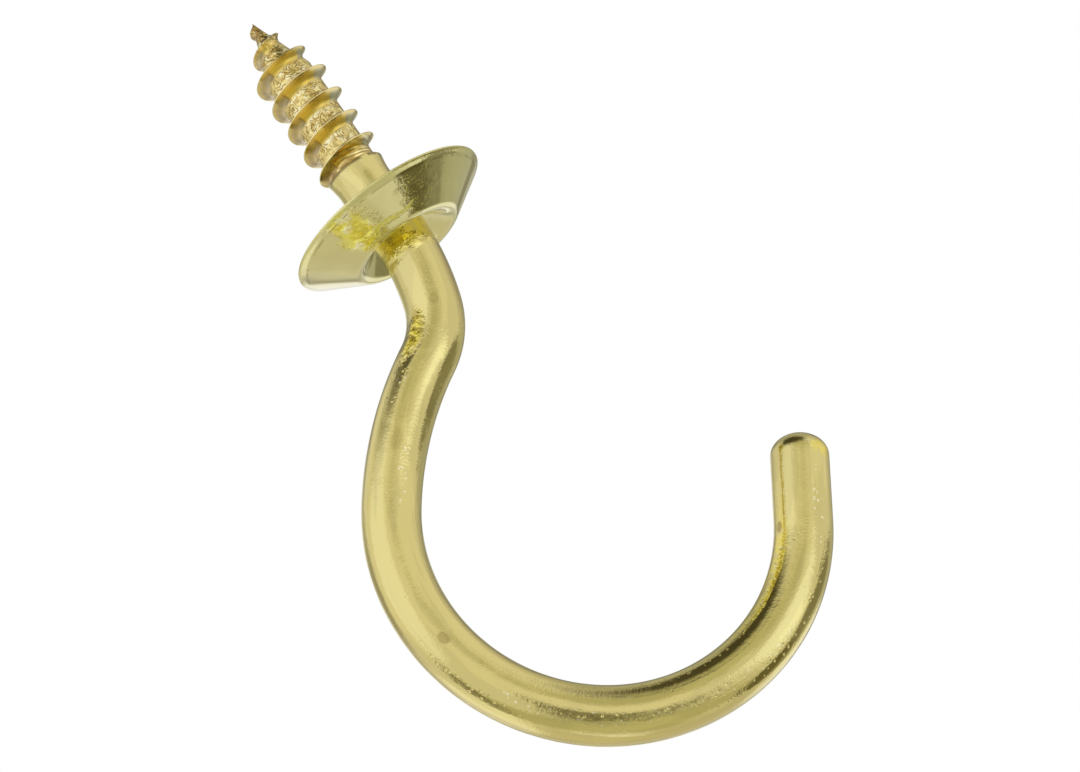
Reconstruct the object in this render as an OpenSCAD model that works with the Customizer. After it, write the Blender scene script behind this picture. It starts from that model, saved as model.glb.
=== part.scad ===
// Cup hook: a bent brass wire with a rolled wood-screw thread, and the collar pressed on its shank.
// Frame: origin at the centre of the collar's face that meets the wood, +Z towards the screw's
// point, +X towards the hook's free end. The wire lies in the XZ plane. Millimetres.

/* [Wire] */
// diameter of the wire
wire_d = 3.05; // [2.2:0.01:3.6]
// plain shank above the mounting face, up to the thread's shoulder
shank_l = 3.2; // [2.6:0.1:5]
// straight wire below the mounting face
stem_l = 0.8; // [0.4:0.1:4]
// how far the small lip at the thread's shoulder stands out from the wire
lip_out = 0.1; // [0.04:0.01:0.3]
// height of that lip
lip_h = 0.45; // [0.2:0.05:0.8]
// height of the rounded free end
dome_h = 1.2; // [0.6:0.1:1.5]

/* [Hook bends, radii at the wire's centre line] */
// first, slow part of the bend under the collar
ease_r = 15.3; // [10:0.1:30]
// angle of that slow part
ease_a = 17.1; // [8:0.1:25]
// tight part of the bend
bend_r = 4.8; // [3:0.1:8]
// angle of the tight part
bend_a = 39.6; // [30:0.1:48]
// long curve from the bend to the ring
side_r = 21.6; // [14:0.2:32]
// angle of that curve
side_a = 22.7; // [16:0.1:30]
// the ring
ring_r = 10.5; // [8:0.1:15]
// angle of the ring
ring_a = 181.3; // [150:0.1:215]
// straight free end, without its rounded end
end_l = 3.6; // [1:0.1:10]

/* [Screw thread] */
// height of the point above the mounting face
screw_l = 13.6; // [11:0.1:18]
// diameter over the crests
thread_d = 3.8; // [3.2:0.02:5]
// diameter of the core between the crests
core_d = 2.70; // [1.8:0.02:2.9]
// rise in one turn
pitch = 1.57; // [1.2:0.01:2]
// length of the tapered point
point_l = 3.8; // [2.5:0.1:5]
// length over which the crests grow from the point
grow_l = 4.0; // [2.5:0.1:5]
// foot of a ridge on its upper side, as a share of the pitch
foot_up = 0.18; // [0.12:0.01:0.25]
// foot of a ridge on its lower side, as a share of the pitch
foot_low = 0.32; // [0.2:0.01:0.4]

/* [Collar] */
// diameter over the rim
collar_d = 11.4; // [9.6:0.1:14]
// depth from the rim's face to the outside of the crest ring
collar_h = 1.85; // [1.6:0.05:2.6]
// diameter of the crest ring, at its outermost line
crest_d = 6.0; // [5:0.1:7.6]
// outer rounding of the crest
crest_r = 0.55; // [0.45:0.01:0.8]
// thickness of the sheet
sheet_t = 0.3; // [0.2:0.01:0.36]
// height of the rim's edge
rim_t = 0.1; // [0.06:0.01:0.2]
// depth of the hub below the mounting face
hub_z = 0.3; // [0.1:0.05:0.5]

/* [Hidden] */
$fn = 64;
brass = [0.80, 0.72, 0.42];
wire_r = wire_d / 2;
fit_gap = 0.01;                        // between the collar's bore and the wire

// ---- wire path under the stem: each leg is [radius, angle], a positive angle turns towards +X
LEGS = [[ease_r, -ease_a], [bend_r, -bend_a], [side_r, side_a], [ring_r, ring_a]];
// where legs end: [x, z, heading], with the heading measured from -Z towards +X
function state(n) =
    n == 0 ? [0, -stem_l, 0]
    : let (s = state(n - 1), c = leg_centre(n - 1), h = s[2] + LEGS[n - 1][1],
           r = LEGS[n - 1][0] * sign(LEGS[n - 1][1]))
      [c[0] - r * cos(h), c[1] - r * sin(h), h];
function leg_centre(n) =
    let (s = state(n), r = LEGS[n][0] * sign(LEGS[n][1]))
    [s[0] + r * cos(s[2]), s[1] + r * sin(s[2])];

// ---- screw thread: rows follow the helix, so the crest runs along the mesh's own edges
cols = 24;
crest_flat = 0.02;                     // half width of the crest as a share of the pitch
crest_0 = screw_l - 4.38;              // height at which a crest passes +X
root_l = 1 - foot_up - foot_low;
ROWS = [-foot_low - root_l / 3, -foot_low, -0.5 * foot_low, -crest_flat,
        crest_flat, 0.55 * foot_up, foot_up, foot_up + root_l / 3];
LIFT = [0, 0, 0.42, 1, 1, 0.5, 0, 0];
rows_n = len(ROWS);
sink = 0.3;                            // the thread's body goes this far into the shank
low_z = shank_l - sink;
flat_z = screw_l - 0.35;               // above it the rows close up to the point
first_turn = floor((low_z - crest_0) / pitch) - 1;
turns = ceil((screw_l - crest_0) / pitch) + 1 - first_turn;
row_count = rows_n * turns;
fade_l = 0.5;                          // length over which a crest rises at either end
crest_tip_z = screw_l + 0.43;          // the cone over the first crests ends here
core_tip_z = screw_l + 0.02;           // and the cone of the core here

function clamp01(x) = min(1, max(0, x));
function smooth(x) = let (c = clamp01(x)) c * c * (3 - 2 * c);
// heights beyond the ends are squeezed into a thin band, in their own order
function squeeze(z) =
    z < low_z ? low_z - 0.2 * (1 - exp((z - low_z) / pitch))
    : z > flat_z ? flat_z + 0.28 * (1 - exp(-(z - flat_z) / 0.45))
    : z;
function core_r(z) = core_d / 2 * min(1, (core_tip_z - z) / point_l);
function ridge_r(z) =
    let (full = thread_d / 2 * min(1, (crest_tip_z - z) / grow_l),
         grown = smooth((z - shank_l) / fade_l) * smooth((screw_l - z) / fade_l))
    core_r(z) + max(0, full - core_r(z)) * grown;
function raw_z(i, j) =
    crest_0 + pitch * (first_turn + floor(i / rows_n) + ROWS[i % rows_n] + j / cols);
function thread_point(i, j) =
    let (z = squeeze(raw_z(i, j)), r = core_r(z) + (ridge_r(z) - core_r(z)) * LIFT[i % rows_n],
         a = 360 * j / cols)
    [r * cos(a), r * sin(a), z];
function at(i, j) = j == cols ? (i + rows_n) * cols : i * cols + j;

THREAD_POINTS = concat(
    [for (i = [0 : row_count - 1], j = [0 : cols - 1]) thread_point(i, j)],
    [[0, 0, low_z - 0.25], [0, 0, screw_l]]);
LOW_TIP = row_count * cols;
TOP_TIP = LOW_TIP + 1;
// the skin, two triangles to a cell, clockwise from outside; the last column meets the first
// one turn further up
SKIN = [for (j = [0 : cols - 1], i = [0 : row_count - 2 - (j == cols - 1 ? rows_n : 0)],
             t = [0, 1])
        t == 0 ? [at(i, j), at(i + 1, j), at(i + 1, j + 1)]
               : [at(i, j), at(i + 1, j + 1), at(i, j + 1)]];
LOW_RING = concat([for (j = [0 : cols - 1]) at(0, j)],
                  [for (i = [rows_n : -1 : 1]) at(i, 0)]);
TOP_RING = concat([for (j = [0 : cols - 1]) at(row_count - 1, j)],
                  [for (i = [1 : rows_n]) at(row_count - 1 - i, cols - 1)]);
function fan(ring, tip, up) =
    [for (k = [0 : len(ring) - 1])
        let (a = ring[k], b = ring[(k + 1) % len(ring)]) up ? [b, a, tip] : [a, b, tip]];

module thread() {
    polyhedron(points = THREAD_POINTS,
               faces = concat(SKIN, fan(LOW_RING, LOW_TIP, false), fan(TOP_RING, TOP_TIP, true)),
               convexity = 12);
}

// ---- wire
// a shift and a turn in a coarse and a fine step each, so that the legs' end faces meet exactly
function coarse(x) = round(x * 1000) / 1000;
function six(x) = round(x * 1e6) / 1e6;
module shift(x, z) {
    translate([coarse(x), 0, coarse(z)]) translate([x - coarse(x), 0, z - coarse(z)]) children();
}
module turn(a) {
    rotate([0, a, 0]) rotate([0, a - atan2(six(sin(a)), six(cos(a))), 0]) children();
}

module wire_leg(n) {
    c = leg_centre(n);
    shift(c[0], c[1]) rotate([90, 0, 0])
        rotate_extrude(angle = LEGS[n][1], start = state(n)[2] + (LEGS[n][1] > 0 ? 180 : 0))
            translate([LEGS[n][0], 0]) circle(r = wire_r);
}

// from the first bend up to the thread's shoulder, with the lip that the thread's dies leave
module shank() {
    lip_r = wire_r + lip_out;
    rotate_extrude()
        polygon([[0, -stem_l], [wire_r, -stem_l], [wire_r, shank_l - lip_h],
                 [lip_r, shank_l - lip_h / 3], [lip_r, shank_l], [0, shank_l]]);
}

module free_end() {
    steps = 8;
    e = state(len(LEGS));
    shift(e[0], e[1]) turn(180 - e[2])
        rotate_extrude()
            polygon(concat([[0, 0], [wire_r, 0]],
                [for (k = [0 : steps - 1])
                    [wire_r * cos(90 * k / steps), end_l + dome_h * sin(90 * k / steps)]],
                [[0, end_l + dome_h]]));
}

module hook_wire() {
    color(brass) union() {
        shank();
        for (n = [0 : len(LEGS) - 1]) wire_leg(n);
        free_end();
        thread();
    }
}

// ---- collar: one strip of sheet, from the rim over the crest ring to the hub
rim_r = collar_d / 2;
crest_c = [crest_d / 2, crest_r - collar_h];   // centre of the crest's rounding
hub_r = wire_r + fit_gap;
hub_edge = 0.05;                               // broken edge of the hub
hub_land = 0.12;                               // flat top of the hub, round the bore
// directions in which the rounding meets the cone and the recess, as angles in the RZ plane
cone_a = let (dx = rim_r - crest_c[0], dz = -rim_t - crest_c[1], l = norm([dx, dz]))
         atan2(dz, dx) - acos(crest_r / l);
hub_low = -hub_z - sheet_t * 1.25;
recess_a = let (dx = hub_r + hub_edge - crest_c[0], dz = hub_low - crest_c[1], l = norm([dx, dz]))
           atan2(dz, dx) + acos(crest_r / l);
function crest_arc(r, a0, a1, steps) =
    [for (k = [0 : steps]) let (a = a0 + (a1 - a0) * k / steps)
        [crest_c[0] + r * cos(a), crest_c[1] + r * sin(a)]];

module collar() {
    inner = crest_r - sheet_t;
    color(brass) rotate_extrude()
        polygon(concat(
            [[rim_r - 1.2 * sheet_t, 0], [rim_r, 0], [rim_r, -rim_t]],
            crest_arc(crest_r, cone_a, recess_a - 360, 12),
            [[hub_r + hub_edge, hub_low], [hub_r, hub_low + hub_edge], [hub_r, -hub_z],
             [hub_r + hub_land, -hub_z]],
            crest_arc(inner, recess_a - 360, cone_a, 8)));
}

hook_wire();
collar();
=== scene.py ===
"""A lacquered brass cup hook: one bent wire with a rolled wood-screw thread, and its stamped collar.

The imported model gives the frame. Each piece is modelled here again at a finer grain, in the same
place and at the same size, and stands for its node. Lengths are metres unless a name says
otherwise, and MM turns millimetres into metres.
"""

import logging
import math
from collections.abc import Callable, Iterable, Iterator
from contextlib import contextmanager
from dataclasses import dataclass, field
from enum import Enum
from functools import partial, reduce

import bpy
from mathutils import Matrix, Vector, kdtree


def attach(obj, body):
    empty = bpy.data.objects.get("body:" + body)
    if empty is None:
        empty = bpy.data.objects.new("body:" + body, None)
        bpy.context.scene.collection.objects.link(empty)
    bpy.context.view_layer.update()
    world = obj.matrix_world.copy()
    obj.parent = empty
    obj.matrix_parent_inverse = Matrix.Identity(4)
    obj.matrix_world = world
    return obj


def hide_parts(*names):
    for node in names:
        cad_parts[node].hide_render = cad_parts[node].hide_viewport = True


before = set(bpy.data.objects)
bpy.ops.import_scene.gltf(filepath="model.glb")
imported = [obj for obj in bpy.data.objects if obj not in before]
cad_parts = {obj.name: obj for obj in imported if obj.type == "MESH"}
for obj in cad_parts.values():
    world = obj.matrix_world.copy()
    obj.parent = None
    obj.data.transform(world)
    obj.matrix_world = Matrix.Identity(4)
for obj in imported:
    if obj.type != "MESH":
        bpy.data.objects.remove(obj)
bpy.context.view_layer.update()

MM = 0.001
HOUR = 30.0             # degrees from one hour to the next on a clock face
CREASE = 40.0           # degrees; an edge that turns more than this stays sharp
LACQUER_GLOSS = 0.05    # the clear lacquer's roughness
LACQUER_INDEX = 1.5     # and its index of refraction
WELD = 0.0005           # mm; points closer than this are one
NEAR = 0.001            # mm; a height within this of another counts as the same
WHITE = (1.0, 1.0, 1.0)

# what the pieces and their finishes share, in mm
WIRE = 3.05             # the wire's diameter
SHOULDER = 3.2          # height at which the plain shank ends and the thread starts
SCREW = 13.6            # height of the point
PITCH = 1.57
COLLAR = 11.396         # the collar's diameter
CREST_BELOW = 4.38      # from the point down to a crest that passes +X
FOOT_UP = 0.18          # a flank's width on the upper side, as a share of the pitch
FOOT_LOW = 0.32         # and on the lower side

LOG = logging.getLogger("cup_hook")
Colour = tuple[float, float, float]
Place = tuple[float, float, float]
Point = tuple[float, float]               # X or a radius, and a height, in mm
Rounds = tuple[tuple[Place, float], ...]  # each one's middle and radius, in mm
Piece = bpy.types.Object


# ==== shader expressions
def _operator(operation: str, swapped: bool = False) -> Callable[..., "Value"]:
    """Makes a method that adds one Math node.

    Args:
        operation: the node's operation.
        swapped: whether the value itself is the operation's last term, not its first.

    Returns:
        the method, which takes the other terms and gives the result.
    """
    def method(self: "Value", *others: "Value | float") -> "Value":
        """The operation's result."""
        terms = (*others, self) if swapped else (self, *others)
        return self.graph.node("Math", {"operation": operation}, dict(enumerate(terms)))
    return method


class Value:
    """A number or colour in a shader: a node's output whose operators add Math nodes."""

    def __init__(self, graph: "Graph", socket: bpy.types.NodeSocket) -> None:
        """Wraps one output of a graph's node."""
        self.graph = graph
        self.socket = socket

    __add__ = __radd__ = _operator("ADD")
    __sub__, __rsub__ = _operator("SUBTRACT"), _operator("SUBTRACT", swapped=True)
    __mul__ = __rmul__ = _operator("MULTIPLY")
    __truediv__, __pow__ = _operator("DIVIDE"), _operator("POWER")
    least, most = _operator("MINIMUM"), _operator("MAXIMUM")
    sine, angle = _operator("SINE"), _operator("ARCTAN2")       # angle: of the tangent self / other
    absolute, fraction = _operator("ABSOLUTE"), _operator("FRACT")

    def rise(self, low: float, high: float) -> "Value":
        """0 below low, 1 above high and a smooth step between. With low above high it falls."""
        settings = {"interpolation_type": "SMOOTHSTEP"}
        start, end, first, last = (low, high, 0.0, 1.0) if low < high else (high, low, 1.0, 0.0)
        sockets = {"Value": self, "From Min": start, "From Max": end, "To Min": first, "To Max": last}
        return self.graph.node("MapRange", settings, sockets)


class Graph:
    """A node tree that is written as expressions."""

    def __init__(self, owner: bpy.types.Material | bpy.types.World) -> None:
        """Takes over the nodes of a material or a world, and empties them."""
        owner.use_nodes = True
        self.tree = owner.node_tree
        self.tree.nodes.clear()

    def node(self, kind: str, settings: dict | None = None, sockets: dict | None = None,
             out: str | int = 0) -> Value:
        """Adds a node.

        Args:
            kind: the node's type, without the ShaderNode that all of them start with.
            settings: its properties, which are set first.
            sockets: values or links for its inputs, by name or index.
            out: the output that is returned.

        Returns:
            the chosen output, or the node itself where it has none.
        """
        made = self.tree.nodes.new("ShaderNode" + kind)
        for name, setting in (settings or {}).items():
            setattr(made, name, setting)
        for name, given in (sockets or {}).items():
            if isinstance(given, Value):
                self.tree.links.new(given.socket, made.inputs[name])
            else:
                made.inputs[name].default_value = given
        return Value(self, made.outputs[out]) if len(made.outputs) else made

    def mix(self, share: Value | float, first: Value | Colour, second: Value | Colour) -> Value:
        """A blend of two colours, with a share from 0 to 1 of the second."""
        sockets = {0: share}
        for slot, colour in ((6, first), (7, second)):
            sockets[slot] = colour if isinstance(colour, Value) else (*colour, 1.0)
        return self.node("Mix", {"data_type": "RGBA"}, sockets, 2)

    def painted(self, colour: Value | Colour, *coats: tuple[Value | float, Value | Colour]) -> Value:
        """A colour under some coats, from the lowest up: each one's share, 0 to 1, and its colour."""
        for share, coat in coats:
            colour = self.mix(share, colour, coat)
        return colour

    def camera_ray(self) -> Value:
        """1 for what the camera sees itself and 0 for what is mirrored or lit."""
        return self.node("LightPath", out="Is Camera Ray")

    def scaled(self, vector: Value, scale: tuple[float, float, float]) -> Value:
        """A vector times a scale for each of its parts."""
        return self.node("VectorMath", {"operation": "MULTIPLY"}, {0: vector, 1: scale})

    def dot(self, vector: Value, other: Vector) -> Value:
        """The dot product of a vector and a constant one."""
        return self.node("VectorMath", {"operation": "DOT_PRODUCT"}, {0: vector, 1: tuple(other)}, "Value")

    def distance(self, vector: Value, other: Vector) -> Value:
        """The distance between a vector and a constant one."""
        return self.node("VectorMath", {"operation": "DISTANCE"}, {0: vector, 1: tuple(other)}, "Value")

    def part(self, vector: Value, axis: str) -> Value:
        """One part of a vector: X, Y or Z."""
        return self.node("SeparateXYZ", None, {0: vector}, axis)

    def cloud(self, vector: Value, scale: float, detail: float = 2.0, rough: float = 0.5) -> Value:
        """Noise from 0 to 1.

        Args:
            vector: where it is read.
            scale: features for each unit of the vector.
            detail: how many finer layers are added.
            rough: how strong the finer layers are.

        Returns:
            the noise.
        """
        return self.node("TexNoise", None,
                         {"Vector": vector, "Scale": scale, "Detail": detail, "Roughness": rough})

    def cells(self, vector: Value, scale: float, out: str = "Distance") -> Value:
        """Scattered cells: the Distance from a cell's middle, or its random Color."""
        return self.node("TexVoronoi", None, {"Vector": vector, "Scale": scale}, out)

    def flecks(self, vector: Value, scale: float) -> Value:
        """1 on dots of uneven size, with none in a third of the cells, and 0 off them."""
        bare, largest, edge = 0.35, 0.45, 0.04      # shares of the cells, and of a cell's size
        chance = self.part(self.cells(vector, scale, "Color"), "X")
        reach = (chance - bare) * (largest / (1 - bare))
        return (self.cells(vector, scale) - reach).rise(edge, -edge)

    def curls(self, vector: Value, scale: float, levels: float) -> Value:
        """1 on the level lines of a hilly map, with so many levels of height, and 0 off them."""
        ground = (self.cloud(vector, scale, 0.0) * levels).fraction()
        outside, inside = 0.16, 0.05                # half widths of a line, as shares of a level
        return (ground - 0.5).absolute().rise(outside, inside)

    def bump(self, height: Value, depth: float) -> Value:
        """A normal from a height, where 1 stands for a depth in metres."""
        return self.node("Bump", None, {"Height": height, "Distance": depth, "Strength": 1.0})


def strongest(masks: Iterable[Value]) -> Value:
    """The greatest of several values at each point."""
    return reduce(Value.most, masks)


def direction(azimuth: float, elevation: float) -> Vector:
    """A unit vector, by its degrees from -Y towards +X and its degrees above the horizon."""
    turn, lift = math.radians(azimuth), math.radians(elevation)
    return Vector((math.sin(turn) * math.cos(lift), -math.cos(turn) * math.cos(lift), math.sin(lift)))


# ==== finishes
@dataclass(frozen=True)
class Spot:
    """A place on the wire that differs from the rest, such as a stain, a few pits, a crinkle, painted
    glints, painted reflection and painted shade.
    """

    along: float          # mm from the thread's shoulder, along the wire
    around: float         # degrees from the wire's front line towards the outside of the bends
    length: float         # mm
    width: float          # mm
    strength: float = 1.0
    hollow: float = 0.0   # 0 for a full spot, towards 1 for a thin ring
    soft: float = 0.2     # how far its edge fades

    def mask(self, graph: Graph, place: Value, radius: float) -> Value:
        """0 off the spot and up to its strength on it; place is the straightened wire's, in mm."""
        turn = math.radians(self.around)
        scale = (2 / self.width, 2 / self.width, 2 / self.length)
        middle = Vector((radius * math.sin(turn), -radius * math.cos(turn), self.along))
        middle = Vector(a * b for a, b in zip(middle, scale))
        ragged = graph.cloud(place, 3.0) * 0.6 - 0.3
        away = graph.distance(graph.scaled(place, scale), middle) + ragged
        spot = away.rise(1 + self.soft, 1 - self.soft)
        if self.hollow:
            middle_left = 0.55                      # how much of the tone stays inside a ring
            ring = away.rise(self.hollow - 0.3, self.hollow)
            spot = spot * (ring * (1 - middle_left) + middle_left)
        return spot * self.strength


Spots = tuple[Spot, ...]


@dataclass(frozen=True)
class Brass:
    """A polished brass surface under clear lacquer. Each finish is one of these."""

    name: str
    colour: Colour
    roughness: float
    lacquer: float               # coat weight
    relief: float                # mm; what a height of 1 stands for

    def material(self) -> bpy.types.Material:
        """Builds the material."""
        made = bpy.data.materials.new(self.name)
        graph = Graph(made)
        colour, dullness, height = self.surface(graph)
        shader = graph.node("BsdfPrincipled", None, {
            "Base Color": colour, "Metallic": 1.0, "Roughness": dullness + self.roughness,
            "Coat Weight": self.lacquer, "Coat Roughness": LACQUER_GLOSS, "Coat IOR": LACQUER_INDEX,
            "Normal": graph.bump(height, self.relief * MM)})
        graph.node("OutputMaterial", None, {"Surface": shader})
        return made

    def surface(self, graph: Graph) -> tuple[Value, Value, Value]:
        """What differs from finish to finish: the colour, the added roughness and the height."""
        raise NotImplementedError

    def darker(self, share: float) -> Colour:
        """The finish's own colour, darkened to a share of itself."""
        return tuple(part * share for part in self.colour)

    def object_mm(self, graph: Graph) -> Value:
        """Object coordinates in millimetres."""
        place = graph.node("TexCoord", out="Object")
        return graph.scaled(place, (1 / MM,) * 3)


@dataclass(frozen=True)
class WireBrass(Brass):
    """Drawn wire: flat-sided draw lines, a fine grain, scattered pits, a few marks, and painted glints,
    reflection and shade.
    """

    radius: float = WIRE / 2     # mm
    sides: float = 7.0           # the long plates that drawing leaves round the wire
    # the colour of stain marks and of painted shade along the outside edge
    stain_and_shade_colour: Colour = (0.40, 0.31, 0.09)
    # gold: gold tone, and painted reflection on some spots
    gold: Colour = (0.95, 0.82, 0.14)
    # painted glint: bright specks where pits would catch a lamp
    glint: Colour = (1.00, 0.94, 0.66)
    # the colour of dark marks and of painted shade
    dark_marks_and_shade: Colour = (0.20, 0.15, 0.04)
    stains_and_edge_shade: Spots = ()
    pitted: Spots = ()
    crinkled: Spots = ()
    gold_and_reflection: Spots = ()
    glinting: Spots = ()
    darkened_spots: Spots = ()

    def surface(self, graph: Graph) -> tuple[Value, Value, Value]:
        """Draw lines, grain, pits and crinkles over a slightly uneven tone, with painted glints,
        reflection and shade on some marked places.
        """
        place = graph.node("Attribute", {"attribute_name": "unbent"}, None, "Vector")
        across, deep, along = (graph.part(place, axis) for axis in "XYZ")
        cloud = partial(graph.cloud, place)

        def where(which: Spots) -> Value:
            """The strongest of several spots at each point."""
            return strongest(spot.mask(graph, place, self.radius) for spot in which)

        def drawn(scale: float, squeeze: float, detail: float, rough: float = 0.5) -> Value:
            """Noise that is drawn out along the wire, the more so the smaller the squeeze."""
            return graph.cloud(graph.scaled(place, (1.0, 1.0, squeeze)), scale, detail, rough)

        # the whole wire
        tone, lines = drawn(1.3, 0.12, 2.0), drawn(4.0, 0.07, 3.0)
        patches, folds = cloud(0.6, 2.0), cloud(1.7, 3.0, 0.5)
        around = across.angle(deep * -1.0) * (self.sides / math.tau) + cloud(0.1, 1.0) * 1.6
        plates = (around.fraction() - 0.5).absolute()
        streaked = tone.rise(0.49, 0.53) * 0.6 + tone.rise(0.35, 0.65) * 0.4
        grain = cloud(8.0, 2.0) * (patches.rise(0.35, 0.65) * 0.7 + 0.5)

        # the marked places; the stain spots along the outside edge are painted shade
        crinkled, stain_and_edge_shade = where(self.crinkled), where(self.stains_and_edge_shade)
        pitted = where(self.pitted).most(patches.rise(0.52, 0.66) * 0.35)
        pits = graph.cells(place, 3.2).rise(0.30, 0.08) * pitted
        # gold: painted reflection of the ring on the free end's inner edge and of the collar low in its
        # hollow; gold tone on the dome
        gold_and_reflection = where(self.gold_and_reflection) * cloud(2.4, 2.0).rise(0.38, 0.50)
        shoulder = along.rise(0.22, 0.08) * cloud(1.4, 3.0).rise(0.38, 0.48)
        # darker: dark specks on the darkened spots, a broken dark line just below the shoulder, and
        # painted shade in the crinkles' folds
        dark_marks_and_shade = strongest((drawn(5.0, 0.45, 3.0, 0.7).rise(0.47, 0.58) * where(self.darkened_spots),
                          shoulder * 0.9, folds.rise(0.46, 0.36) * crinkled * 0.7))

        height = (cloud(1.2, 2.0) * 1.5 + lines * 0.8 + grain - pits * 2.6
                  + plates * 5.0 + folds * crinkled * 30.0)
        colour = graph.painted(
            self.colour, (streaked, self.darker(0.88)), (gold_and_reflection.most(crinkled) * 0.85, self.gold),
            (stain_and_edge_shade, self.stain_and_shade_colour), (dark_marks_and_shade, self.dark_marks_and_shade),
            # painted glints: bright specks on the glinting spots
            (graph.flecks(place, 5.5) * where(self.glinting), self.glint))
        return colour, patches * 0.03 + lines * 0.03 + stain_and_edge_shade * 0.12 + dark_marks_and_shade * 0.2, height


@dataclass(frozen=True)
class ThreadBrass(Brass):
    """Rolled thread: smooth flanks coloured amber, pale and dull as painted reflection, roots embossed
    with curls and given painted highlights and shade, and rings in the run-out.
    """

    pitch: float = PITCH         # mm
    crest: float = SCREW - CREST_BELOW      # mm; a height at which a crest passes +X
    foot_up: float = FOOT_UP
    foot_low: float = FOOT_LOW
    run_out: float = 4.4         # mm; the rings are below it
    tip: float = 11.6            # mm; the rough point is above it
    shoulder: float = 3.4        # mm; the darkening at the foot of the run-out is below it
    root_colour: Colour = (0.90, 0.75, 0.31)
    # painted highlight: the colour on emboss peaks, ring tops, crests and the roots' fillet
    bright: Colour = (1.00, 0.95, 0.62)
    # the lower flanks' colours are painted reflection: amber for the collar below them, pale for the lit
    # side, dull for the shaded side
    amber: Colour = (0.88, 0.66, 0.11)
    pale: Colour = (0.50, 0.50, 0.34)
    dull: Colour = (0.54, 0.45, 0.27)
    rosy: Colour = (0.68, 0.50, 0.34)
    # the colour of dark marks and of painted shade
    dirt_and_shade_colour: Colour = (0.40, 0.24, 0.06)
    lit_side_angle: float = -8.0      # degrees from +X; the side whose flanks are painted lit, with the other side painted shaded

    def surface(self, graph: Graph) -> tuple[Value, Value, Value]:
        """Each part of the thread is found from the height and the turn, along the helix."""
        place = self.object_mm(graph)
        x, y, z = (graph.part(place, axis) for axis in "XYZ")
        cloud = partial(graph.cloud, place)
        turn = y.angle(x) / math.tau
        phase = ((z - self.crest) / self.pitch - turn).fraction()
        low_foot, edge = 1 - self.foot_low, 0.02
        root = (phase.rise(self.foot_up - edge, self.foot_up + edge)
                * phase.rise(low_foot + edge, low_foot - edge))
        pointed = z.rise(self.tip - 0.4, self.tip + 0.4)
        ending = z.rise(self.run_out + 0.2, self.run_out - 0.2)
        rough = (root * (1 - ending)).most(pointed * 0.8)
        seam = (phase - self.foot_up).absolute().rise(0.035, 0.015)
        flank = phase.rise(low_foot, low_foot + 0.06) * phase.rise(0.98, 0.88) * (1 - pointed * 0.6)
        crest = (phase - 0.5).absolute().rise(0.472, 0.49)
        toward = math.radians(self.lit_side_angle)
        spoke = graph.node("VectorMath", {"operation": "NORMALIZE"}, {0: graph.scaled(place, (1, 1, 0))})
        side = graph.dot(spoke, Vector((math.cos(toward), math.sin(toward), 0)))

        # what the dies left: embossing and curls in the roots, rings in the run-out, streaks; and a
        # painted highlight on the roots' fillet
        broken = cloud(1.6, 2.0).rise(0.42, 0.55)
        emboss = cloud(2.6, 1.5, 0.6)
        curls = graph.curls(place, 2.2, 6.0) * cloud(1.8, 1.0).rise(0.42, 0.52)
        rings = ((z * 33.0 + turn * 3.0 + cloud(0.8) * 3.0).sine() * 0.5 + 0.5) * ending
        turned = ending * (root * 0.5 + 0.5) * side.rise(-0.75, -0.35)
        along = graph.node("CombineXYZ", None, {0: phase * 3.0, 1: turn * 22.0, 2: z * 0.2})
        streaks = graph.cloud(along, 1.0, 3.0)
        streaked = streaks.rise(0.35, 0.6)
        # painted highlight where the roots' fillet would mirror a lamp
        polished = (phase.rise(0.50, 0.60) * side.rise(-0.60, -0.45) * side.rise(0.25, -0.05)
                    * root * emboss.rise(0.38, 0.50) * (1 - ending))

        # the flanks' painted reflection: amber for the collar below, pale on the lit side, dull on the
        # shaded side; darker patches low down
        low_flank = z.rise(self.run_out + 0.9, self.run_out + 0.3)
        flank_reflection_and_dark_patches = graph.painted(
            self.amber, (side.rise(0.62, 0.67), self.pale),
            (side.rise(-0.60, -0.66) * (streaked * 0.3 + 0.7), self.dull),
            (low_flank * cloud(2.4, 2.0).rise(0.46, 0.54) * 0.5, self.dirt_and_shade_colour))
        foot = z.rise(self.shoulder + 0.12, self.shoulder - 0.06) * broken
        # painted shade: a dark line along the edge of the shaded side
        edge_shade = (side + 0.63).absolute().rise(0.05, 0.01) * flank * 0.5
        nested = (phase * 75.0).sine().rise(0.2, 0.8) * side.rise(-0.80, -0.92) * root * 0.7
        # painted shade and dark marks: darker in the embossing's hollows and curls, along the shaded
        # side's edge, in nested lines, in the rings' hollows, at the foot of the run-out and on the point
        dirt_and_shade = strongest((rough * (emboss.rise(0.46, 0.36) * 0.4).most(curls * 0.85), edge_shade,
                           nested, rings.rise(0.35, 0.1) * turned * broken * 0.7, foot * 0.8,
                           pointed * emboss.rise(0.50, 0.40) * 0.8))

        height = ((emboss - 0.5) * rough * 6.0 - curls * rough * 0.9 + (rings - 0.5) * turned
                  + streaks * 0.3 + cloud(9.0) * 0.2)
        colour = graph.painted(
            self.colour, (root, self.root_colour),
            # painted highlights: on the emboss peaks, the ring tops, the crests and the roots' fillet
            (rough * emboss.rise(0.52, 0.62) * 0.8, self.bright),
            (flank * (streaked * 0.25 + 0.75), flank_reflection_and_dark_patches),
            (rings.rise(0.5, 0.9) * turned * (broken * -0.5 + 0.8), self.bright),
            (crest * 0.5, self.bright), (polished, self.bright),
            (seam * (1 - ending) * (broken * 0.5 + 0.3), self.rosy), (dirt_and_shade, self.dirt_and_shade_colour))
        return colour, flank * 0.26 + dirt_and_shade * 0.2, height


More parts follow.
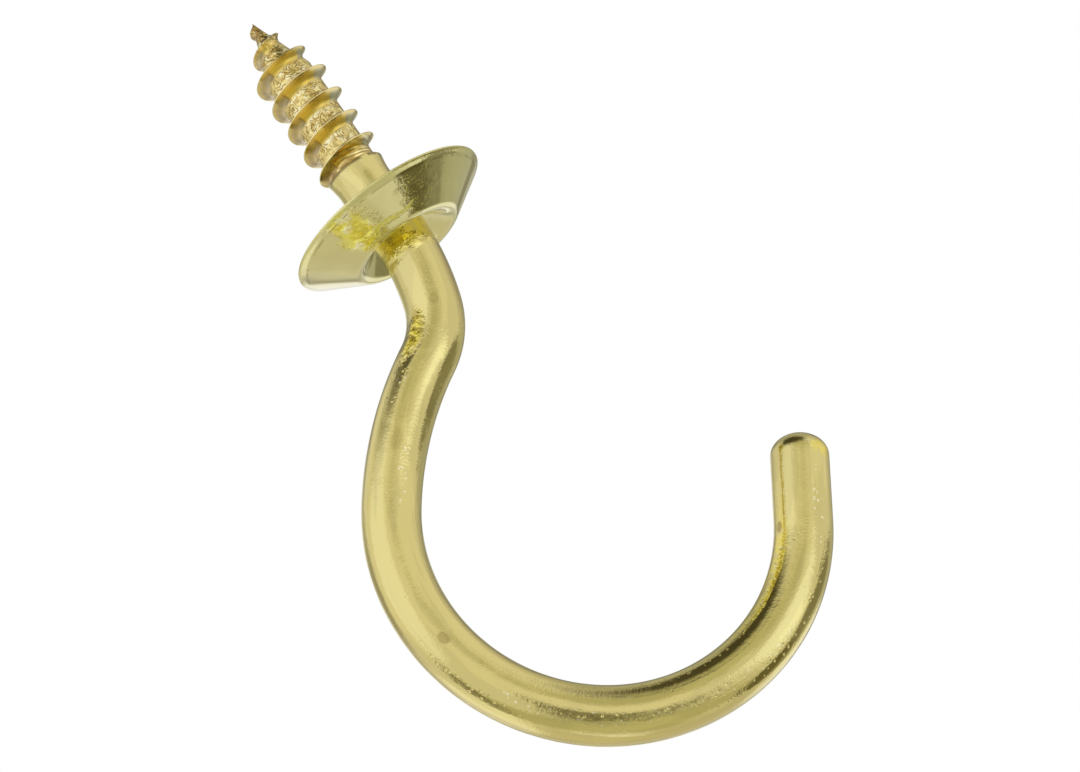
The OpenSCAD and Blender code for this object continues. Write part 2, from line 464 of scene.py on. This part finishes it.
@dataclass(frozen=True)
class SheetBrass(Brass):
    """Stamped sheet: bright, with the tool's faint ripple, a crinkled place with painted highlights on its
    folds, a speckled one darkened with painted shade, gold along the rim, and a painted highlight along
    the crest."""

    radius: float = COLLAR / 2   # mm
    rim: float = 0.07            # mm; the cut edge's band
    rolled: float = 0.32         # mm; the rounded band inside it
    crest: float = 3.70          # mm; the radius of the painted highlight along the crest
    lemon: Colour = (1.00, 0.94, 0.17)
    straw: Colour = (1.00, 0.98, 0.62)
    green: Colour = (0.80, 0.77, 0.34)
    # the colour of painted shade on the speckled place and of the dark line inside the rim
    dark_marks_and_shade: Colour = (0.42, 0.38, 0.14)
    crinkled: Rounds = (((-2.8, -3.0, -1.2), 1.0), ((-3.3, -3.8, -0.6), 0.9))
    crest_highlight: Rounds = (((-0.6, -3.65, -1.5), 0.9), ((-1.6, -3.3, -1.5), 0.6))
    speckled: Rounds = (((0.9, -4.3, -1.0), 1.3), ((0.5, -3.9, -1.3), 0.8))

    def near(self, graph: Graph, place: Value, which: Rounds) -> Value:
        """1 inside some ragged round places on the sheet and 0 outside."""
        ragged = graph.cloud(place, 2.2, 3.0) * 1.2 - 0.6
        away = [graph.distance(place, Vector(middle)) / size for middle, size in which]
        return (reduce(Value.least, away) + ragged).rise(1.2, 0.7)

    def surface(self, graph: Graph) -> tuple[Value, Value, Value]:
        """A broad ripple, a grain that comes and goes, the rim's lines, and the marked places."""
        place = self.object_mm(graph)
        x, y = graph.part(place, "X"), graph.part(place, "Y")
        cloud = partial(graph.cloud, place)
        away = (x * x + y * y) ** 0.5

        # the whole sheet
        ripple, tone = cloud(0.5, 1.0), cloud(0.8, 2.0).rise(0.3, 0.7)
        fine, uneven = cloud(6.0, 3.0), cloud(1.5, 3.0)
        rim = away.rise(self.radius - self.rim * 1.6, self.radius - self.rim)
        rolled = away.rise(self.radius - self.rolled, self.radius)
        line = (away - (self.radius - self.rolled * 1.1)).absolute().rise(self.rim, self.rim * 0.3)

        # the marked places
        crinkled, crest_highlight, speckled = (self.near(graph, place, which)
                                      for which in (self.crinkled, self.crest_highlight, self.speckled))
        folds = cloud(0.9, 2.0, 0.4)
        grain = fine * cloud(0.45, 1.0).rise(0.42, 0.62).most(speckled)
        # painted highlight: a band along the crest, with a bump and lemon flecks
        crest_highlight = crest_highlight * (away - self.crest + uneven * 0.5 - 0.25).absolute().rise(0.16, 0.08)
        flecks = cloud(6.5, 2.0, 0.65).rise(0.61, 0.67).most(crest_highlight * 0.8)
        flecks = flecks * speckled.most(crest_highlight)

        height = (ripple * 2.0 + grain * 0.6 + fine * 0.08 + (folds - 0.5) * crinkled * 16.0
                  + (crest_highlight * 3.0 + crinkled * 0.5) * fine - rolled * (5.0 - fine))
        colour = graph.painted(
            self.colour, (tone, self.darker(0.94)),
            (crinkled * (folds.rise(0.36, 0.56) * 0.3 + 0.7), self.lemon),
            # painted highlights: on the crinkles' fold tops, and along the crest band
            (crinkled * (folds * 0.8 + fine * 0.2).rise(0.50, 0.58), self.straw),
            (flecks * 0.9, self.lemon), (crest_highlight * fine.rise(0.56, 0.62), self.straw),
            # painted shade deepening the dark reflection on the speckled place, then a dark line inside
            # the rim
            (speckled * uneven.rise(0.52, 0.60) * 0.5, self.dark_marks_and_shade),
            (line * uneven.rise(0.44, 0.54) * 0.7, self.dark_marks_and_shade),
            (rim.most(rolled * 0.5) * 0.7, self.green))
        return colour, grain * 0.08 + crinkled * 0.16 + rolled * 0.12 + flecks * 0.45, height


# ==== modelling helpers
def only(piece: Piece) -> None:
    """Makes a piece the only selected and the active one."""
    bpy.ops.object.select_all(action="DESELECT")
    piece.select_set(True)
    bpy.context.view_layer.objects.active = piece


@contextmanager
def editing(piece: Piece, selection: str = "SELECT") -> Iterator[None]:
    """Edit mode on one piece, with all of it or nothing selected, while a with block lasts."""
    only(piece)
    bpy.ops.object.mode_set(mode="EDIT")
    bpy.ops.mesh.select_all(action=selection)
    yield
    bpy.ops.object.mode_set(mode="OBJECT")


def extrude(step: Vector) -> None:
    """Draws what is selected on by a step."""
    bpy.ops.mesh.extrude_region_move(TRANSFORM_OT_translate={"value": step})


def weld() -> None:
    """Joins the points that lie on each other, and leaves everything selected."""
    bpy.ops.mesh.select_all(action="SELECT")
    bpy.ops.mesh.remove_doubles(threshold=WELD * MM)
    bpy.ops.mesh.select_all(action="SELECT")


def strip(name: str, points: list[Point]) -> Piece:
    """Draws a chain of points, each its X and Z in mm, as a new piece."""
    bpy.ops.mesh.primitive_plane_add(size=MM)
    piece = bpy.context.object
    piece.name = name
    places = [Vector((x * MM, 0, z * MM)) for x, z in points]
    with editing(piece):
        bpy.ops.mesh.merge(type="CENTER")
        bpy.ops.transform.translate(value=places[0])
        for here, there in zip(places, places[1:]):
            extrude(there - here)
    return piece


def close_piece(piece: Piece) -> None:
    """Points the normals of a finished mesh outwards and shades it, with its sharp edges kept."""
    with editing(piece):
        bpy.ops.mesh.normals_make_consistent(inside=False)
    bpy.ops.object.shade_smooth_by_angle(angle=math.radians(CREASE))


@dataclass(frozen=True)
class Bend:
    """One arc of the wire's centre line."""

    radius: float     # mm
    angle: float      # degrees; positive turns towards +X
    steps: int


@dataclass
class HookWire:
    """The wire: shank, bends, ring and domed end, and the thread on its upper end. Sizes are mm."""

    diameter: float = WIRE
    shank: float = SHOULDER
    stem: float = 0.8            # straight under the collar's face
    lip: float = 0.1             # how far the dies' lip stands out of the wire
    lip_height: float = 0.85
    lip_edge: float = 0.03
    end: float = 3.6             # straight before the dome
    dome: float = 1.2
    bends: tuple[Bend, ...] = (Bend(15.3, -17.1, 34), Bend(4.8, -39.6, 52), Bend(21.6, 22.7, 60),
                               Bend(10.5, 181.3, 190))
    sides: int = 96
    straight_steps: int = 22
    dome_steps: int = 16

    # the thread
    screw: float = SCREW
    crest_diameter: float = 3.8
    core_diameter: float = 2.7
    pitch: float = PITCH
    crest_below: float = CREST_BELOW
    point: float = 3.8           # the core's taper
    point_over: float = 0.02     # how far above the point it would end
    grow: float = 4.0            # the crest's taper
    grow_over: float = 0.43      # how far above the point it would end
    foot_up: float = FOOT_UP
    foot_low: float = FOOT_LOW
    fade: float = 0.5            # over which the ridge grows at each end
    sink: float = 0.3            # how deep the thread's foot is sunk in the wire
    thinnest: float = 0.002      # radius

    line: list[tuple[Vector, Vector, float]] = field(default_factory=list)

    # ---- the bent wire
    def bent_wire(self) -> Piece:
        """Draws the wire down from the thread's shoulder, round its bends, to the domed end."""
        place, heading = Vector((0, 0, (self.shank - self.lip_height) * MM)), 0.0
        bpy.ops.mesh.primitive_circle_add(vertices=self.sides, radius=self.diameter / 2 * MM,
                                          location=place)
        wire = bpy.context.object
        wire.name = "bent_wire"
        only(wire)
        bpy.ops.object.transform_apply(location=True)
        with editing(wire):
            place = self._draw(place, heading, self.shank - self.lip_height + self.stem)
            for bend in self.bends:
                place, heading = self._bend(place, heading, bend)
            self._dome(self._draw(place, heading, self.end), heading)
        self._lip(wire)
        return wire

    def _ahead(self, heading: float) -> Vector:
        """The wire's direction at a heading, which is 0 straight down and positive towards +X."""
        return Vector((math.sin(heading), 0, -math.cos(heading)))

    def _across(self, heading: float) -> Vector:
        """Square to the wire at a heading, in the plane of the bends."""
        return Vector((math.cos(heading), 0, math.sin(heading)))

    def _draw(self, place: Vector, heading: float, length: float) -> Vector:
        """Extrudes the selected ring straight on by a length in mm, and gives its new centre."""
        step = self._ahead(heading) * (length * MM / self.straight_steps)
        for _ in range(self.straight_steps):
            self.line.append((place.copy(), self._ahead(heading), step.length))
            extrude(step)
            place = place + step
        return place

    def _bend(self, place: Vector, heading: float, bend: Bend) -> tuple[Vector, float]:
        """Spins the selected ring round a bend, and gives its new centre and heading."""
        angle = math.radians(bend.angle)
        reach = math.copysign(bend.radius * MM, angle)
        middle = place + self._across(heading) * reach
        bpy.ops.mesh.spin(steps=bend.steps, angle=angle, center=middle, axis=(0, 1, 0))
        for k in range(bend.steps):
            here = heading + angle * k / bend.steps
            self.line.append((middle - self._across(here) * reach, self._ahead(here),
                              angle * reach / bend.steps))
        heading += angle
        return middle - self._across(heading) * reach, heading

    def _dome(self, place: Vector, heading: float) -> None:
        """Closes the last ring, at its place and heading, with a low dome."""
        ahead, width, height = self._ahead(heading), 1.0, 0.0
        for k in range(1, self.dome_steps):
            angle = math.pi / 2 * k / self.dome_steps
            rise = (math.sin(angle) - height) * self.dome * MM
            shrink = math.cos(angle) / width
            width, height = math.cos(angle), math.sin(angle)
            self.line.append((place.copy(), ahead, rise))
            extrude(ahead * rise)
            place = place + ahead * rise
            bpy.ops.transform.resize(value=(shrink,) * 3, center_override=place)
        extrude(ahead * ((1 - height) * self.dome * MM))
        bpy.ops.mesh.merge(type="CENTER")

    def _lip(self, wire: Piece) -> None:
        """Shapes the lip that the thread's dies leave at the shoulder, and closes the shank over it."""
        steps, curve, share, round_off = 10, 1.5, 0.96, 0.3 * self.lip_edge
        top, radius = self.shank - self.lip_height, self.diameter / 2
        outside = radius + self.lip
        profile = [(radius + self.lip * (k / steps) ** curve, self.lip_height * share * k / steps)
                   for k in range(1, steps + 1)]
        profile += [(outside - round_off, self.lip_height - round_off),
                    (outside - self.lip_edge, self.lip_height),
                    (self.core_diameter / 3, self.lip_height)]
        with editing(wire, "DESELECT"):
            bpy.ops.mesh.select_non_manifold(use_wire=False, use_multi_face=False,
                                             use_non_contiguous=False, use_verts=False)
            width, height = radius, 0.0
            for reach, rise in profile:
                extrude(Vector((0, 0, (rise - height) * MM)))
                bpy.ops.transform.resize(value=(reach / width,) * 3,
                                         center_override=(0, 0, (top + rise) * MM))
                width, height = reach, rise
            bpy.ops.mesh.edge_face_add()

    # ---- the thread
    def _core_radius(self, z: float) -> float:
        """The core's radius at a height, which falls to nothing at the point."""
        return self.core_diameter / 2 * min(1.0, (self.screw + self.point_over - z) / self.point)

    def _crest_radius(self, z: float) -> float:
        """The crest's radius at a height."""
        return self.crest_diameter / 2 * min(1.0, (self.screw + self.grow_over - z) / self.grow)

    def _ridge(self, z: float) -> float:
        """How far the ridge has grown at a height, from 0 to 1."""
        def smooth(x: float) -> float:
            """A smooth step from 0 to 1."""
            x = min(1.0, max(0.0, x))
            return x * x * (3 - 2 * x)
        return smooth((z - self.shank) / self.fade) * smooth((self.screw - z) / self.fade)

    def _profile(self) -> list[Point]:
        """One pitch of the thread: heights in pitches from the crest, and lifts from 0 to 1."""
        flat, top = 0.02, 1.02              # the crest's half width, and its lift
        low_hollow, up_hollow = 2.1, 2.0    # how hollow the two flanks are
        low_steps, up_steps, root_steps = 9, 7, 10
        low = [(-self.foot_low + (self.foot_low - flat) * k / low_steps, (k / low_steps) ** low_hollow)
               for k in range(low_steps + 1)]
        up = [(flat + (self.foot_up - flat) * k / up_steps, (1 - k / up_steps) ** up_hollow)
              for k in range(up_steps + 1)]
        width = 1 - self.foot_low - self.foot_up
        root = [(self.foot_up + width * k / root_steps, 0.0) for k in range(1, root_steps + 1)]
        return low + [(0.0, top)] + up + root

    def thread(self) -> Piece:
        """Rolls the thread: one pitch of its profile screwed up the axis, then drawn to a point."""
        crest_height = self.screw - self.crest_below
        first = math.floor((self.shank - self.sink - crest_height) / self.pitch) - 1
        turns = math.ceil((self.screw - crest_height) / self.pitch) + 1 - first
        start = crest_height + first * self.pitch
        thread = strip("rolled_thread", [(1 + lift, start + height * self.pitch)
                                         for height, lift in self._profile()])
        screw = thread.modifiers.new("screw", "SCREW")
        screw.angle = math.tau
        screw.screw_offset = self.pitch * MM
        screw.iterations = turns
        screw.steps = screw.render_steps = self.sides
        bpy.ops.object.modifier_apply(modifier=screw.name)
        for vertex in thread.data.vertices:
            self._roll(vertex)
        with editing(thread):
            weld()
            for height, outer in ((self.shank - self.sink, False), (self.screw - NEAR, True)):
                bpy.ops.mesh.select_all(action="SELECT")
                bpy.ops.mesh.bisect(plane_co=(0, 0, height * MM), plane_no=(0, 0, 1), use_fill=True,
                                    clear_inner=not outer, clear_outer=outer, threshold=0.0)
        return thread

    def _roll(self, vertex: bpy.types.MeshVertex) -> None:
        """Moves a point of the screwed profile to its true radius."""
        z = vertex.co.z / MM
        flat = Vector((vertex.co.x, vertex.co.y))
        lift = flat.length / MM - 1
        core, crest = self._core_radius(z), self._crest_radius(z)
        radius = max(core, 0.0) + max(0.0, crest - core) * lift * self._ridge(z)
        flat = flat.normalized() * (max(radius, self.thinnest) * MM)
        vertex.co.x, vertex.co.y = flat

    # ---- finishing
    def build(self, wire_finish: Brass, thread_finish: Brass) -> Piece:
        """Makes the whole piece, with one finish on the plain wire and one above the shoulder."""
        wire, thread = self.bent_wire(), self.thread()
        for piece in (wire, thread):
            close_piece(piece)
        union = wire.modifiers.new("union", "BOOLEAN")
        union.operation, union.solver, union.object = "UNION", "EXACT", thread
        only(wire)
        bpy.ops.object.modifier_apply(modifier=union.name)
        bpy.data.objects.remove(thread)
        self._straighten(wire)
        wire.data.materials.clear()
        for finish in (wire_finish, thread_finish):
            wire.data.materials.append(finish.material())
        for face in wire.data.polygons:
            face.material_index = int(face.center.z > (self.shank - NEAR) * MM)
        close_piece(wire)
        return wire

    def _straighten(self, wire: Piece) -> None:
        """Stores where each point would lie if the wire were straight, in millimetres.

        The first part runs towards the outside of the bends, the second towards +Y and the third
        along the wire from the shoulder.
        """
        tree = kdtree.KDTree(len(self.line))
        distances, total = [], self.lip_height * MM
        for k, (place, _, step) in enumerate(self.line):
            tree.insert(place, k)
            distances.append(total)
            total += step
        tree.balance()
        unbent = wire.data.attributes.new("unbent", "FLOAT_VECTOR", "POINT")
        for k, vertex in enumerate(wire.data.vertices):
            _, nearest, _ = tree.find(vertex.co)
            place, ahead, _ = self.line[nearest]
            reach = vertex.co - place
            outside = ahead.cross(Vector((0, -1, 0)))
            unbent.data[k].vector = (reach.dot(outside) / MM, reach.y / MM,
                                     (distances[nearest] + reach.dot(ahead)) / MM)


@dataclass
class Collar:
    """The stamped collar: rim, cone, rounded crest ring and the hub on the wire. Sizes are mm."""

    diameter: float = COLLAR
    height: float = 1.85
    crest_diameter: float = 6.0
    crest_radius: float = 0.55
    sheet: float = 0.3
    rim: float = 0.1
    rim_edge: float = 0.03
    rim_width: float = 0.36
    hub_height: float = 0.3
    hub_wall: float = 0.375
    hub_edge: float = 0.05
    hub_land: float = 0.12
    wire_diameter: float = WIRE
    gap: float = 0.01
    crooked: float = 2.4         # degrees; it was pressed on a little high towards +X
    steps: int = 240             # round the axis

    def outline(self) -> list[Point]:
        """The section through the sheet, as radius and height in mm, going once round."""
        middle = Vector((self.crest_diameter / 2, self.crest_radius - self.height))
        rim_r, hub_r = self.diameter / 2, self.wire_diameter / 2 + self.gap
        hub_low = -self.hub_height - self.hub_wall

        def touch(x: float, z: float, side: int) -> float:
            """The angle at which a line from a point touches the crest's rounding."""
            away = Vector((x, z)) - middle
            return math.atan2(away.y, away.x) + side * math.acos(self.crest_radius / away.length)

        cone, recess = touch(rim_r, -self.rim, -1), touch(hub_r + self.hub_edge, hub_low, 1) - math.tau

        def arc(radius: float, first: float, last: float, count: int) -> list[Point]:
            """Points round the crest's middle."""
            angles = (first + (last - first) * k / count for k in range(count + 1))
            return [(middle.x + radius * math.cos(a), middle.y + radius * math.sin(a)) for a in angles]

        def along(first: Point, last: Point, count: int) -> list[Point]:
            """Points inside a straight stretch, closer together towards its ends."""
            shares = (0.5 - 0.5 * math.cos(math.pi * k / count) for k in range(1, count))
            return [tuple(a + (b - a) * s for a, b in zip(first, last)) for s in shares]

        cone_steps, hub_steps = 12, 8
        outer = arc(self.crest_radius, cone, recess, 30)
        inner = arc(self.crest_radius - self.sheet, recess, cone, 20)
        rim_in, rim_low = (rim_r - self.rim_width, 0.0), (rim_r, -self.rim)
        hub = [(hub_r + self.hub_edge, hub_low), (hub_r, hub_low + self.hub_edge),
               (hub_r, -self.hub_height), (hub_r + self.hub_land, -self.hub_height)]
        return ([rim_in, (rim_r - self.rim_edge, 0.0), (rim_r, -self.rim_edge), rim_low]
                + along(rim_low, outer[0], cone_steps) + outer + along(outer[-1], hub[0], hub_steps)
                + hub + along(hub[-1], inner[0], hub_steps) + inner
                + along(inner[-1], rim_in, cone_steps))

    def build(self, finish: Brass) -> Piece:
        """Spins the section round the screw's axis and gives it its finish."""
        outline = self.outline()
        collar = strip("stamped_collar", outline + outline[:1])
        hub = (0, 0, -(self.hub_height + self.hub_wall / 2) * MM)
        with editing(collar):
            weld()
            bpy.ops.mesh.spin(steps=self.steps, angle=math.tau, center=(0, 0, 0), axis=(0, 0, 1))
            weld()
            bpy.ops.transform.rotate(value=math.radians(self.crooked), orient_axis="Y",
                                     center_override=hub)
        collar.data.materials.append(finish.material())
        close_piece(collar)
        return collar


# ==== studio
class Tone(Enum):
    """How bright and how warm a thing in the studio looks in polished brass."""

    LAMP = (1.15, 1.15, 1.15)
    CARD = (0.98, 0.95, 0.90)
    PALE = (0.97, 0.95, 0.93)
    TAN = (0.66, 0.61, 0.48)
    STRAW = (0.58, 0.55, 0.38)
    GREY = (0.48, 0.46, 0.34)
    SHADE = (0.28, 0.26, 0.18)
    DUSK = (0.16, 0.14, 0.07)
    DARK = (0.08, 0.07, 0.04)


@dataclass(frozen=True)
class Thing:
    """A soft-edged oval in the studio, placed as a lighting plan does it: so far round from the
    camera, towards an hour of a clock face that hangs behind the hook."""

    tone: Tone
    round_from: float     # degrees away from the camera, as the hook sees it
    hour: float           # 12 is the top of the picture
    along: float          # half size along the clock's circle, degrees
    outward: float        # half size away from the camera, degrees
    turn: float = 0.0     # degrees, from the circle towards the outside
    edge: float = 0.4     # softness, as a share of the size

    def mask(self, graph: Graph, look: Value, axes: tuple[Vector, Vector, Vector]) -> Value:
        """1 inside the oval and 0 outside.

        Args:
            graph: the world's graph.
            look: the direction being looked in.
            axes: the picture's right, its top, and the way back to the camera.

        Returns:
            the mask.
        """
        right, top, back = axes
        around, away = math.radians(self.round_from), math.radians(self.hour * HOUR)
        spoke = right * math.sin(away) + top * math.cos(away)
        middle = back * math.cos(around) + spoke * math.sin(around)
        outward = spoke * math.cos(around) - back * math.sin(around)
        circle = middle.cross(outward)
        turn = math.radians(self.turn)
        long_way = circle * math.cos(turn) + outward * math.sin(turn)
        wide_way = outward * math.cos(turn) - circle * math.sin(turn)
        x = graph.dot(look, long_way / math.sin(math.radians(self.along)))
        y = graph.dot(look, wide_way / math.sin(math.radians(self.outward)))
        inside = ((x * x + y * y) ** 0.5).rise(1 + self.edge, 1 - self.edge)
        return inside * graph.dot(look, middle).rise(0.0, 0.05)


@dataclass
class Studio:
    """A white tent round the hook: pale walls and floor, two windows of light, and the dark things
    outside that polished brass picks up."""

    azimuth: float = -18.37
    elevation: float = -16.67
    roll: float = 35.18
    distance: float = 162.65
    aim: Place = (2.43, 2.77, -11.27)
    lens: float = 103.37
    sensor: float = 36.0
    clip: tuple[float, float] = (0.005, 20.0)     # m
    floor_drop: float = 100.0
    floor_size: float = 6.0                       # m
    floor_tones: tuple[Colour, Colour] = ((0.90, 0.90, 0.90), (0.88, 0.88, 0.88))
    floor_glow: float = 0.33
    walls: Colour = (0.82, 0.78, 0.68)
    things: tuple[Thing, ...] = ()

    def axes(self) -> tuple[Vector, Vector, Vector]:
        """The picture's right, its top, and the way back to the camera."""
        back = direction(self.azimuth, self.elevation)
        level = Vector((0, 0, 1)).cross(back).normalized()
        upright = back.cross(level)
        roll = math.radians(self.roll)
        return (level * math.cos(roll) - upright * math.sin(roll),
                upright * math.cos(roll) + level * math.sin(roll), back)

    def camera(self) -> None:
        """Puts the camera below the hook, looking up at it, rolled."""
        data = bpy.data.cameras.new("camera")
        data.lens, data.sensor_width = self.lens, self.sensor
        data.clip_start, data.clip_end = self.clip
        camera = bpy.data.objects.new("camera", data)
        place = (Vector(self.aim) + self.axes()[2] * self.distance) * MM
        camera.matrix_world = Matrix.Translation(place) @ Matrix(self.axes()).transposed().to_4x4()
        bpy.context.scene.collection.objects.link(camera)
        bpy.context.scene.camera = camera

    def surroundings(self) -> None:
        """Paints the tent on the world: white to the camera, and with its things to the brass."""
        bpy.context.scene.world = bpy.data.worlds.new("tent")
        graph = Graph(bpy.context.scene.world)
        look = graph.node("TexCoord", out="Generated")
        coats = [(thing.mask(graph, look, self.axes()), thing.tone.value) for thing in self.things]
        colour = graph.painted(self.walls, *coats, (graph.camera_ray(), WHITE))
        shader = graph.node("Background", None, {"Color": colour, "Strength": 1.0})
        graph.node("OutputWorld", None, {"Surface": shader})

    def floor(self) -> None:
        """Lays the pale floor well below the hook."""
        bpy.ops.mesh.primitive_plane_add(size=self.floor_size, location=(0, 0, -self.floor_drop * MM))
        floor = bpy.context.object
        floor.name = "floor"
        made = bpy.data.materials.new("pale_floor")
        graph = Graph(made)
        place = graph.node("TexCoord", out="Object")
        tone = graph.cloud(place, 14.0, 3.0).rise(0.2, 0.8)
        colour = graph.mix(tone, *self.floor_tones)
        paper = graph.node("BsdfDiffuse", None, {"Color": colour})
        glow = graph.node("Emission", None, {"Color": (*WHITE, 1.0), "Strength": self.floor_glow})
        lit = graph.node("AddShader", None, {0: paper, 1: glow})
        shader = graph.node("MixShader", None, {0: graph.camera_ray(), 1: paper, 2: lit})
        graph.node("OutputMaterial", None, {"Surface": shader})
        floor.data.materials.append(made)
        floor.visible_glossy = False

    def build(self) -> None:
        """Sets up the camera, the surroundings and the floor."""
        bpy.context.scene.view_settings.view_transform = "Standard"
        self.camera()
        self.surroundings()
        self.floor()


def report(piece: Piece) -> None:
    """Logs a piece's name, its triangles and its size in millimetres."""
    piece.data.calc_loop_triangles()
    size = ", ".join(f"{d / MM:.2f}" for d in piece.dimensions)
    LOG.info("%s: %d triangles, %s mm", piece.name, len(piece.data.loop_triangles), size)


def main() -> None:
    """Builds the studio and the two pieces, hangs each on the root body and hides the imported node it
    stands for.
    """
    logging.basicConfig(level=logging.INFO, format="%(name)s: %(message)s")
    things = (          # their names only tell them apart
        Thing(Tone.TAN, 135, 2.0, 60, 20),                 # the tan wall on the right
        Thing(Tone.SHADE, 180, 12.0, 40, 40, edge=0.3),    # the dark room behind the hook
        Thing(Tone.CARD, 165, 6.5, 30, 15, edge=0.3),      # the white card under it
        Thing(Tone.TAN, 100, 5.5, 40, 35, edge=0.3),       # the floor
        Thing(Tone.GREY, 140, 3.5, 20, 40, edge=0.3),      # the far wall, in shade
        Thing(Tone.PALE, 60, 9.5, 32, 30, edge=0.12),      # the window on the left
        Thing(Tone.CARD, 105, 7.0, 15, 30, edge=0.2),      # the low window
        Thing(Tone.GREY, 135, 11.5, 30, 20),               # the wall beyond the open top
        Thing(Tone.STRAW, 65, 12.0, 20, 20, edge=0.5),     # the slope before the open top
        Thing(Tone.DARK, 97, 11.3, 32, 25),                # the open top
        Thing(Tone.STRAW, 45, 5.5, 50, 25, edge=0.12),     # the table
        Thing(Tone.SHADE, 58, 7.5, 14, 10, edge=0.5),      # a doorway
        Thing(Tone.PALE, 70, 5.7, 12, 10, edge=0.7),       # a sheet of paper on the table
        Thing(Tone.GREY, 133, 8.5, 16, 18, edge=0.4),      # the corner on the left
        Thing(Tone.GREY, 18, 4.2, 22, 15, edge=0.5),       # whoever holds the camera
        Thing(Tone.SHADE, 8, 2.8, 14, 9, edge=0.5),        # the lens
        Thing(Tone.LAMP, 54, 2.3, 24, 13, -30, edge=0.3),  # the first lamp
        Thing(Tone.SHADE, 98, 3.1, 14, 22, edge=0.2),      # a shelf beyond it
        Thing(Tone.SHADE, 92, 3.7, 16, 18, edge=0.15),     # the stand's base
        Thing(Tone.DUSK, 81, 3.75, 13, 14, edge=0.25),     # the stand
        Thing(Tone.CARD, 131, 4.1, 12, 18, edge=0.3),      # the second lamp
        Thing(Tone.SHADE, 156, 3.3, 14, 6, edge=0.25),     # a dark rail on the right
    )
    Studio(things=things).build()
    # stain marks; the last two, along the wire's outside edge, are painted shade
    stains_and_edge_shade = (Spot(28.3, 8, 0.7, 0.5, 0.6, hollow=0.3), Spot(17.3, 5, 1.0, 0.7, 0.3, soft=0.5),
              Spot(9.0, 5, 0.7, 0.5, 0.3, hollow=0.7), Spot(53.0, -64, 0.7, 0.4, 0.8),
              Spot(15.7, -17, 1.5, 0.9, 0.15, soft=0.6), Spot(7.5, -56, 3.5, 0.6, 0.35, soft=0.6),
              Spot(25.3, 74, 6.0, 0.35, 0.5, soft=0.5), Spot(31.0, 83, 8.0, 0.3, 0.4, soft=0.5))
    pitted = (Spot(38.5, 22, 10.0, 0.6, 0.9), Spot(49.5, -53, 9.0, 0.5), Spot(31.0, 47, 4.0, 0.5),
              Spot(47.5, 44, 7.0, 0.6), Spot(13.5, 35, 4.5, 0.9), Spot(42.0, -44, 14.0, 0.4, 0.8),
              Spot(57.4, 65, 0.9, 2.4, 0.9))
    # painted glints: bright specks where pits would catch a lamp
    glinting = (Spot(19.0, -19, 3.4, 0.7), Spot(54.0, 22, 4.5, 0.6, 0.9), Spot(37.0, 24, 10.0, 0.7, 0.7),
                Spot(45.0, 30, 5.0, 0.6, 0.4), Spot(49.0, -54, 8.0, 0.6, 0.8), Spot(14.6, -57, 1.0, 0.5),
                Spot(13.0, 30, 3.0, 0.7, 0.6), Spot(57.5, 45, 0.6, 2.4, 0.9))
    crinkled = (Spot(11.3, 46, 2.8, 1.0, soft=0.4), Spot(5.5, 5, 0.7, 4.0, 0.5, soft=0.6))
    # darkened spots: dark specks, and at 38.5 mm painted shade that deepens the dark band there
    darkened_spots = (Spot(13.2, 36, 2.4, 0.8, 0.8, soft=0.5), Spot(38.5, 22, 9.0, 0.45, 0.5, soft=0.5))
    # gold: painted reflection of the collar (4 mm) and of the ring (49.5 mm), gold tone on the dome (57.4
    # mm)
    gold_and_reflection = (Spot(4.0, 10, 3.0, 4.2, 0.9, soft=0.15), Spot(49.5, -58, 8.5, 1.1, 0.9, soft=0.4),
              Spot(57.4, 60, 1.0, 2.4, 0.9, soft=0.4))
    wire_brass = WireBrass("lacquered_wire", (0.80, 0.71, 0.29), 0.045, 0.8, 0.01, stains_and_edge_shade=stains_and_edge_shade,
                           pitted=pitted, crinkled=crinkled, gold_and_reflection=gold_and_reflection, glinting=glinting,
                           darkened_spots=darkened_spots)
    thread_brass = ThreadBrass("rolled_thread", (0.80, 0.66, 0.28), 0.11, 0.5, 0.035)
    sheet_brass = SheetBrass("stamped_sheet", (0.79, 0.755, 0.38), 0.05, 1.0, 0.02)
    wire = HookWire().build(wire_brass, thread_brass)
    collar = Collar().build(sheet_brass)
    for piece, node, slot in ((wire, "hook_wire", "wire"), (collar, "collar", "collar")):
        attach(piece, "root")
        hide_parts(node)
        report(piece)


if __name__ == "__main__":
    main()
